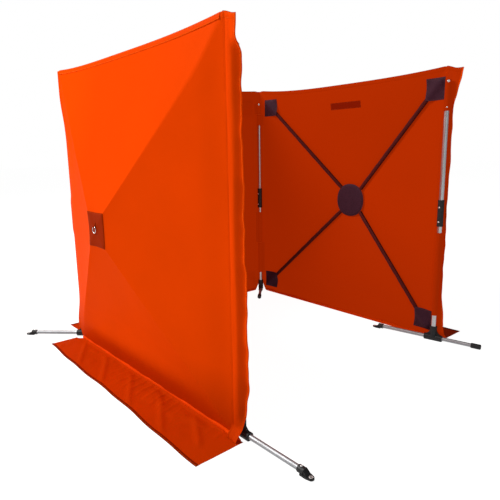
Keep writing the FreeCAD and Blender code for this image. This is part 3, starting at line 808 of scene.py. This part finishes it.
def skirt(panel):
    """The creased strip of cloth on the floor, its hem, and a tongue of it beside a free pole's foot."""
    start, stop = sorted(panel.own(corner)[0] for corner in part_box(f"{panel.name}_skirt"))
    t = np.linspace(0, 1, 240)
    u = start + (stop - start) * t
    near, far = SKIRT_REACH[panel.name]
    far = near + (far - near) * t + wobble(u, (0.9, 4 * MM, 0.5), (2.7, 2.5 * MM, 1.4))
    # flat beside the feet, whose bars turn over it
    calm = smooth(np.minimum(np.abs(u), np.abs(u - panel.span)), 0.030, 0.10)
    rows, uvs = [], []
    for share in np.concatenate([[0.0, 0.02, 0.05, 0.09], np.linspace(0.12, 0.94, 22), [0.975, 1.0]]):
        out = ROOT + (far - ROOT) * share
        # leave a round gap over each foot
        for side, place in enumerate((0.0, panel.span)):
            gap = (FREE_GAP if panel.free[side] else HINGE_GAP) ** 2 - (u - place) ** 2
            edge = np.where(gap > 0, np.sqrt(np.maximum(gap, 0)) - PLANE, -1.0)
            out = np.where(edge > out, edge + (out - ROOT) * 0.25, out)
        flat = np.stack([u, out, 0 * u], -1)
        fold = crease(flat, (5.0, 11.0, 1), 5.3 + len(panel.name)) + 0.5 * crease(flat, (14.0, 22.0, 1), 2.2)
        lift = 10 * MM * np.maximum(fold, 0) * math.sin(math.pi * min(share * 1.15 + 0.06, 1)) ** 0.7
        diagonal = np.maximum(0, np.sin((u + out * 1.7) * 19.0 + 1.3)) ** 6
        lift = lift + 6 * MM * diagonal * smooth(share, 0.05, 0.3) * (1 - smooth(share, 0.8, 1.0))
        short = np.maximum(0, np.sin(u * 96.0 + 3.0 * crease(flat, (3.0, 6.0, 1), 8.8) + out * 34.0)) ** 3
        patchy = np.clip(1.6 * crease(flat, (2.6, 5.0, 1), 1.4) + 0.25, 0, 1)
        lift = lift + 6 * MM * short * patchy * smooth(share, 0.0, 0.10) * (1 - smooth(share, 0.45, 0.8))
        root = 9 * MM * (1 - smooth(share, 0.0, 0.10))
        rows.append(panel.at(u, out, 0.4 * MM + (lift + root) * calm))
        uvs.append(pairs(u, out))
    cloth = sheet_grid(f"{panel.name}_ground_skirt", rows, UP, ["skirt"], uvs)
    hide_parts(f"{panel.name}_skirt")
    over = np.array(UP) * 0.6 * MM
    hem = band(f"{panel.name}_skirt_hem", rows[-1] + over, rows[-3] + over, UP, 14 * MM, ["hem_dark"],
               lift=(0.5 * MM, 0.2 * MM))
    for obj in (cloth, hem):
        on(obj, panel.body)
    for side in (0, 1):
        if panel.free[side]:
            skirt_tongue(panel, side, start, stop)


def skirt_tongue(panel, side, start, stop):
    """Cloth in the round gap beside a free pole's foot."""
    place = panel.span * side
    u = np.clip(np.linspace(place - FREE_GAP, place + FREE_GAP, 40), start, stop)
    edge = np.sqrt(np.maximum(FREE_GAP ** 2 - (u - place) ** 2, 0)) - PLANE
    h = ROOT + (np.maximum(edge, 10 * MM) + 6 * MM - ROOT) * np.linspace(0, 1, 6)[:, None]
    obj = sheet_grid(f"{panel.name}_skirt_tongue", panel.at(u, h, 0.9 * MM), UP, ["skirt"], pairs(u, h),
                     0.4 * MM)
    lifted(obj, panel, (place, FREE_GAP - PLANE + 4 * MM, 0))


WELT_END = 0.066                    # this much of a welt lies beside a pole's foot
WELT_TIP = 0.034                    # past a free pole's axis


def welt(panel):
    """The rolled fold along the foot of a panel, where the fabric turns out into its skirt."""
    roll = welt_roll(panel, f"{panel.name}_bottom_welt", WELT_END, panel.span - WELT_END, 0.0, (False, False))
    on(roll, panel.body)
    for side in (0, 1):
        free = panel.free[side]
        tip = -WELT_TIP if free else notch(panel, side)[0]
        first, last = (panel.span - WELT_END, panel.span - tip) if side else (tip, WELT_END)
        name = f"{panel.name}_welt_end" if free else f"{panel.name}_welt_corner_{side + 1}"
        end = welt_roll(panel, name, first, last, 6 * MM if free else 0.0, (not side, bool(side)))
        lifted(end, panel, (first if side else last, 0, 0))


def welt_roll(panel, name, first, last, further, tapered):
    """A length of the roll. `further` moves it out of the panel's plane; `tapered` says which ends narrow."""
    u = np.linspace(first, last, max(16, int((last - first) * 70)))
    around = turn(12)
    ends = np.ones_like(u)
    for taper, place in zip(tapered, (first, last)):
        if taper:
            ends = np.minimum(ends, smooth(np.abs(u - place), 0.0, 0.02))
    radius = (9.5 * MM + 1.6 * MM * wobble(u, (3.1, 1, 0), (7.7, 0.5, 1))) * (0.45 + 0.55 * ends)
    centre = 3 * MM + further * smooth(np.minimum(u - first, last - u), -0.02, 0.03) \
        + wobble(u, (1.1, 2 * MM, 0.7), (3.3, 1 * MM, 0.2))
    u, centre, radius = u[:, None], centre[:, None], radius[:, None]
    rows = panel.at(u, centre + radius * np.cos(around), radius * (1 + np.sin(around)) + 0.6 * MM)
    return tube(name, rows, "welt", pairs(u, around * 0.008), capped=True)


# ---- Rods' sleeves and corner pockets -----------------------------------------------------
ROD_TIP = 6.5 * MM                  # from a rod's box to its axis at the corner
ROD_HUB = 5.5 * MM                  # and at the hub
ROD_STOP = 60 * MM                  # a rod ends this far from the hub's middle
SLEEVE_STARTS, SLEEVE_STOPS = 0.115, 0.070     # and its sleeve this far from the rod's two ends


def rod_line(panel, number):
    """The two ends of a rod's axis, in the panel's own u, h, z: at its corner and at the hub."""
    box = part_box(f"{panel.name}_rod_{number}")
    (u, h), (other_u, other_h) = (panel.own(corner) for corner in box)
    us, hs, zs = sorted((u, other_u)), sorted((h, other_h)), sorted(corner.z for corner in box)
    corner = np.array([us[0] + ROD_TIP if number in (1, 4) else us[1] - ROD_TIP, hs[0] + ROD_TIP,
                       zs[0] + ROD_TIP if number in (1, 2) else zs[1] - ROD_TIP])
    hub = np.array([panel.middle, PANEL / 2])
    inner = hub - unit(hub - corner[[0, 2]]) * ROD_STOP
    return corner, np.array([inner[0], hs[1] - ROD_HUB, inner[1]])


def rod_sleeve(panel, number):
    """A flat dark tube round a rod, and the web that joins it to the seam of the fabric."""
    corner, hub = rod_line(panel, number)
    axis = unit(hub - corner)
    across = unit([-axis[2], 0, axis[0]])
    up = np.cross(across, axis)
    up = up if up[1] > 0 else -up
    length = np.linalg.norm(hub - corner)
    places = np.linspace(SLEEVE_STARTS, length - SLEEVE_STOPS, 60)[:, None]
    around = turn(20)
    centre = corner + axis * places
    wide = 13.0 * MM + 0.8 * MM * np.sin(places * 41) + 0.5 * MM * np.sin(places * 97 + 1)
    deep = 6.3 * MM + 0.1 * MM * np.sin(places * 63)
    edge = wide * np.sign(np.cos(around)) * np.abs(np.cos(around)) ** 0.8
    ring = centre[:, None] + across * edge[..., None] + up * (deep * np.sin(around))[..., None]
    sleeve = tube(f"{panel.name}_rod_sleeve_{number}", panel.at(*np.moveaxis(ring, -1, 0)), "sleeve",
                  pairs(places, around * 0.010), 0.9 * MM)
    on(sleeve, f"{panel.name}_rod_{number}")
    _, h, _ = on_screen(panel, centre[:, 0], centre[:, 2])
    # the web's section: share of the way to the fabric, half width and how far its foot is turned back
    section = [(0.0, 1.6 * MM, 0), (0.5, 1.2 * MM, 0), (0.9, 1.4 * MM, 0), (1.0, 9.0 * MM, 2.25 * MM)]
    columns = []
    for sign in (1, -1):
        for share, half, back in section[::sign]:
            place = centre + across * half * sign
            rise = centre[:, 1] + (h - 0.4 * MM - centre[:, 1]) * share - back
            columns.append(panel.at(place[:, 0], rise, place[:, 2]))
    web = tube(f"{panel.name}_rod_web_{number}", np.array(columns).transpose(1, 0, 2), "sleeve",
               pairs(places, np.arange(8) * 4 * MM))
    on(web, panel.body, panel)


POCKET = 0.140                      # a pocket's side
POCKET_START = (0.036, 0.030)       # along u and z, from its corner to the rod's end


def pocket(panel, number):
    """A square dark pocket over a rod's end, sewn to the inside of the fabric at two sides."""
    corner, hub = rod_line(panel, number)
    way = np.sign(hub - corner)[[0, 2]]
    start = corner[[0, 2]] - way * POCKET_START
    a, b = np.meshgrid(np.linspace(0, POCKET, 23), np.linspace(0, POCKET, 23), indexing="ij")
    u, h, z = on_screen(panel, start[0] + way[0] * a, start[1] + way[1] * b)
    run, rise = unit(hub - corner)[[0, 2]], unit(hub - corner)[1]
    level = np.hypot(*run)
    away_u, away_z = u - corner[0], z - corner[2]
    along = (away_u * run[0] + away_z * run[1]) / level
    off = np.abs(away_z * run[0] - away_u * run[1]) / level
    cover = corner[1] + np.maximum(along, -0.02) * rise / level - 10.5 * MM
    tent = np.exp(-(off / 0.042) ** 2) * smooth(along, -0.045, 0.0)
    edge = np.minimum(np.minimum(a, POCKET - a), np.minimum(b, POCKET - b))
    stitched = smooth(edge, 0.0, 0.018)
    drop = (h - cover) * tent * np.where(along > 0.05, 1.0, stitched)
    h = h - 1.3 * MM - np.maximum(drop, 0) - 0.8 * MM * stitched
    cloth = "pocket_orange" if panel.name == "back" else "dark"
    obj = sheet_grid(f"{panel.name}_pocket_{number}", panel.at(u, h, z), -np.array(panel.out), [cloth],
                     pairs(np.maximum(a, b), edge), 1.1 * MM)
    on(obj, panel.body, panel, anchor=-12 * MM)
    if number == 1:
        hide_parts(f"{panel.name}_corner_pockets")


# ---- Hub cover and patch ------------------------------------------------------------------
def hub_cover(panel):
    """The dark round cover inside: a stitched disc, drawn out a little towards each rod."""
    around = turn(96)
    share = np.array([0.06, 0.2, 0.4, 0.6, 0.75, 0.86, 0.93, 0.965, 1.0])[:, None]
    shape = 1 + 0.016 * np.cos(4 * (around - math.pi / 4)) * share ** 3
    radius = (COVER_RADIUS - 1.5 * MM) * share * shape / 1.016
    sag = COVER_FACE - 1.6 * MM - 3.5 * MM * (1 - share ** 2) + 6 * MM * smooth(share, 0.9, 1.0)
    soft = 0.8 * MM * np.cos(around * 3 + share * 4) * share * (1 - share) * 4
    points, faces = grid(panel.at(panel.middle + radius * np.cos(around), sag + soft,
                                  PANEL / 2 + radius * np.sin(around)), closed=True)
    inward = -np.array(panel.out)
    cap = facing(points, [range(len(around))], inward)
    obj = piece(f"{panel.name}_cover", points, [*facing(points, faces, inward), *cap], ["dark"],
                pairs(around * COVER_RADIUS, COVER_RADIUS - radius), 1.2 * MM, outward=-1.0)
    on(obj, f"{panel.name}_hub_unit")
    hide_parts(f"{panel.name}_hub_cover")


def hub_patch(panel):
    """The square reinforcing patch outside the hub: turned edges, and a curved hem at its foot."""
    half = PATCH / 2
    place = np.concatenate([[-1, -0.975, -0.95], np.linspace(-0.9, 0.9, 21), [0.95, 0.975, 1]])
    a, b = np.meshgrid(place, place, indexing="ij")
    u = a * half * (1 - 0.035 * (1 - b ** 2) * np.abs(a) ** 2)
    z = b * half * (1 - 0.03 * (1 - a ** 2) * np.abs(b) ** 2)
    edge = np.minimum(1 - np.abs(a), 1 - np.abs(b)) * half
    _, h, _ = on_screen(panel, panel.middle + u, PANEL / 2 + z)
    turned = 0.9 * MM * smooth(edge, 0.0, 1.0 * MM) + 0.5 * MM * (1 - smooth(edge, 9 * MM, 12 * MM))
    folds = 0.7 * MM * np.maximum(0, np.sin(u * 150 + 1.0)) ** 3 * smooth(z, -0.02, 0.06)
    hem = 1.4 * MM * np.exp(-((z + 0.062 + 0.010 * (u / half) ** 2) / 0.004) ** 2)
    rows = panel.at(panel.middle + u, h + FABRIC + 0.1 * MM + turned + folds + hem, PANEL / 2 + z)
    uv = pairs(np.where(np.abs(a) > np.abs(b), z, u) + 1, edge)
    obj = sheet_grid(f"{panel.name}_patch", rows, panel.out, ["dark_orange"], uv, 0.9 * MM)
    on(obj, panel.body, panel)
    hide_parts(f"{panel.name}_hub_patch")


def strap_loop(panel):
    """The strap that holds the pull ring: webbing over the ring's wire, stitched above and below."""
    low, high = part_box(f"{panel.name}_pull_ring")
    _, ring = panel.own((low + high) / 2)
    top = PANEL / 2 + 17 * MM
    surface = APEX + FABRIC + 2.4 * MM
    bend = np.linspace(-math.pi / 2, math.pi / 2, 9)
    path = [(top - 24 * MM, surface), (top - 12 * MM, surface + 0.3 * MM)]
    path += [(top + 4.4 * MM * math.sin(a), ring + 4.4 * MM * math.cos(a)) for a in bend]
    path += [(top + 12 * MM, surface + 0.3 * MM), (top + 24 * MM, surface)]
    z, h = np.array(path).T
    across = np.array([-6, -5.4, 0, 5.4, 6])[:, None] * MM
    uv = pairs(np.arange(len(path)) * 6 * MM, across + 6 * MM)
    obj = sheet_grid(f"{panel.name}_strap_loop", panel.at(panel.middle + across, h, z), panel.out,
                     ["dark_orange"], uv, 1.0 * MM)
    on(obj, f"{panel.name}_hub_unit")


# ---- Small pieces -------------------------------------------------------------------------
LABEL_U, LABEL_Z = (0.768, 1.053), (1.614, 1.664)


def label():
    """The blank panel sewn outside under the right panel's top edge, and a painted shadow of it inside, where
    it shows through the fabric as a darker oblong.
    """
    panel = PANELS["right"]
    u, z = np.meshgrid(np.linspace(*LABEL_U, 32), np.linspace(*LABEL_Z, 9), indexing="ij")
    _, h, height = on_screen(panel, u, z)
    edge = np.minimum(np.minimum(u - LABEL_U[0], LABEL_U[1] - u), np.minimum(z - LABEL_Z[0], LABEL_Z[1] - z))
    # the outside piece is the label; the inside piece is painted shadow, a dark sheet where the label shows
    # through the film
    for name, lift, way in (("outside", FABRIC + 0.2 * MM, 1), ("inside", -0.3 * MM, -1)):
        obj = sheet_grid(f"right_label_{name}", panel.at(u, h + lift, height), np.array(panel.out) * way,
                         ["label"], pairs(u, edge), 0.5 * MM)
        on(obj, panel.body, panel)


def head(name, body, spot, normal, radius, height, material="rivet", count=24):
    """A low domed head, such as a rivet's or a plug's."""
    section = [(radius, -height * 0.4), (radius, height * 0.25), (radius * 0.86, height * 0.7),
               (radius * 0.5, height * 0.95), (radius * 0.15, height)]
    lathe(name, body, spot, normal, section, material, count)


def studs(panel):
    """Press studs that close the pole sleeves: two on each free pole's, one on each hinge pole's."""
    for side, pole in enumerate(panel.poles):
        toward = panel.along * (-1 if side else 1)
        inward = (toward * (-0.6 if panel.free[side] else 1) - panel.out).normalized()
        places = [(HIGH_SLEEVE[1] - 10 * MM, 8 * MM), (HIGH_SLEEVE[0] + 22 * MM, 4.5 * MM)]
        if not panel.free[side]:
            places = places[:1] if panel.name == "back" else []
        for number, (height, radius) in enumerate(places):
            spot = pole_axis(pole) + inward * 19.5 * MM
            spot.z = height
            head(f"{pole}_stud_{number + 1}", panel.body, spot, inward, radius, 2.2 * MM)


SPADE_TIP, SPADE_TOP = 14 * MM, 12.4 * MM      # stake hole from the spade's tip, and the blade's top
SPADE_PIN, SPADE_PIN_TOP = 66 * MM, 37.0 * MM  # pin through the spade's socket
JOINT_RIVET, JOINT_TOP = 42 * MM, 40.5 * MM    # rivet from the pole's axis, and the sleeve's top
EYELET = [(4.2, -1.4), (4.2, 0.84), (5.8, 1.4), (7.4, 1.4), (9.0, 0.42), (9.0, -1.4)]   # mm


def foot_details(pole, body):
    """A spade's eyelet and pin, the rivets through its foot joint, and the plug in the pole's top."""
    axis = pole_axis(pole)
    foot = f"{pole}_foot"
    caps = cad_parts[f"{foot}_caps"].data.vertices
    tip = max((Vector((v.co.x, v.co.y, 0)) for v in caps), key=lambda c: (c - axis).length)
    way = (tip - axis).normalized()
    section = [(r * MM, t * MM) for r, t in EYELET]
    hole = tip - way * SPADE_TIP + Vector(UP) * SPADE_TOP
    lathe(f"{pole}_stake_eyelet", foot, hole, UP, section, "rivet", ring=True)
    pin = tip - way * SPADE_PIN + Vector(UP) * SPADE_PIN_TOP
    head(f"{pole}_spade_pin", foot, pin, UP, 6 * MM, 2 * MM)
    for number, place in enumerate((-JOINT_RIVET, JOINT_RIVET)):
        spot = axis + way * place + Vector(UP) * JOINT_TOP
        head(f"{foot}_rivet_{number + 1}", foot, spot, UP, 4.5 * MM, 1.6 * MM)
    head(f"{pole}_pole_plug", body, axis + Vector(UP) * POLE_TOP, UP, POLE_RADIUS + 0.6 * MM,
         4 * MM, "plastic", 32)


# ---- Put it together ----------------------------------------------------------------------
for panel in PANELS.values():
    for part in (screen, top_hem, skirt, welt, hub_cover, hub_patch, strap_loop, sleeves, studs):
        part(panel)
    for number in (1, 2, 3, 4):
        rod_sleeve(panel, number)
        pocket(panel, number)
    if any(panel.free):
        free_edge(panel)
label()
gusset("back_left", PANELS["left"])
gusset("back_right", PANELS["right"])
for pole, body in (("front_left", "left_wing"), ("back_left", "back_frame"), ("back_right", "back_frame"),
                   ("front_right", "right_wing")):
    foot_details(pole, body)

# materials for the CAD pieces that stay in view
FINISH = {"pole_lower": "aluminium", "pole_upper": "aluminium", "foot_bar": "aluminium_bar",
          "rivets": "rivet", "knuckle": "plastic", "foot_joint": "plastic", "foot_caps": "plastic",
          "hub": "plastic", "pull_ring": "chrome"}
for name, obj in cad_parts.items():
    kind = next((f for f in FINISH if name.endswith(f)), None)
    finish = FINISH[kind] if kind else ("glass_fibre" if "_rod_" in name else None)
    if finish:
        for place in obj.material_slots:
            place.material = MAT[finish]


# ---- Floor, light and camera --------------------------------------------------------------
FLOOR = 60.0                        # half width


def stage():
    mesh = bpy.data.meshes.new("floor")
    corners = [(-FLOOR, -FLOOR, 0), (FLOOR, -FLOOR, 0), (FLOOR, FLOOR, 0), (-FLOOR, FLOOR, 0)]
    mesh.from_pydata(corners, [], [(0, 1, 2, 3)])
    floor = bpy.data.objects.new("floor", mesh)
    floor.location.z = -0.5 * MM
    scene.collection.objects.link(floor)
    m = Nodes("studio_floor", specular_ior_level=0.1, roughness=0.9)
    m.set(m.shader.inputs["Base Color"], m.ramp(m.noise(0.6, 2.0), (0.3, (0.30, 0.30, 0.30)),
                                                (0.7, (0.32, 0.32, 0.32))))
    m.shader.inputs["Emission Color"].default_value = (1, 1, 1, 1)
    camera_ray = m.add("LightPath").outputs["Is Camera Ray"]
    m.set(m.shader.inputs["Emission Strength"], m.span(camera_ray, 0.45, 0.95))
    mesh.materials.append(m.material)


# direction from the screen's middle, distance, size, power and colour
LIGHTS = {
    "key": ((-0.612, 0.461, 0.643), 8.0, 4.0, 615.0, (1.0, 0.99, 0.97)),
    "side": ((-0.60, 0.80, 0.0), 8.0, 3.0, 95.0, (1.0, 0.99, 0.97)),
    "fill": ((-0.35, -0.80, 0.50), 7.0, 4.5, 60.0, (0.97, 0.985, 1.0)),
}
WORLD = (0.13, 1.0)                 # the world's strength as a light, and as the camera sees it


def lights():
    for name, (direction, distance, size, power, colour) in LIGHTS.items():
        light = bpy.data.lights.new(name, "AREA")
        light.shape = "DISK"
        light.size = size
        light.energy = power
        light.color = colour
        obj = bpy.data.objects.new(name, light)
        obj.location = Vector((0, 0, PANEL / 2)) + Vector(direction) * distance
        obj.rotation_euler = (-Vector(direction)).to_track_quat("-Z", "Y").to_euler()
        scene.collection.objects.link(obj)
    world = bpy.data.worlds.new("studio")
    scene.world = world
    world.use_nodes = True
    tree = world.node_tree
    background = tree.nodes["Background"]
    background.inputs["Color"].default_value = (1, 1, 1, 1)
    path = tree.nodes.new("ShaderNodeLightPath")
    level = tree.nodes.new("ShaderNodeMapRange")
    level.inputs["To Min"].default_value, level.inputs["To Max"].default_value = WORLD
    tree.links.new(path.outputs["Is Camera Ray"], level.inputs["Value"])
    tree.links.new(level.outputs[0], background.inputs["Strength"])


CAMERA_AT = (-2.195, -2.4234, 1.290)
CAMERA_TURN = (41.03, 11.16, -0.86)            # yaw, pitch and roll in degrees
LENS, SENSOR = 35.33, 36.0                     # mm


def camera():
    """Seen from the front left at eye level, looking into the U."""
    data = bpy.data.cameras.new("camera")
    data.sensor_width = SENSOR
    data.lens = LENS
    obj = bpy.data.objects.new("camera", data)
    obj.location = CAMERA_AT
    yaw, pitch, roll = (math.radians(a) for a in CAMERA_TURN)
    ahead = Vector((math.sin(yaw) * math.cos(pitch), math.cos(yaw) * math.cos(pitch), -math.sin(pitch)))
    level = Vector((math.cos(yaw), -math.sin(yaw), 0))
    right = level * math.cos(roll) + level.cross(ahead) * math.sin(roll)
    obj.rotation_euler = Matrix((right, right.cross(ahead), -ahead)).transposed().to_euler()
    scene.collection.objects.link(obj)
    scene.camera = obj


stage()
lights()
camera()
scene.view_settings.view_transform = "Standard"
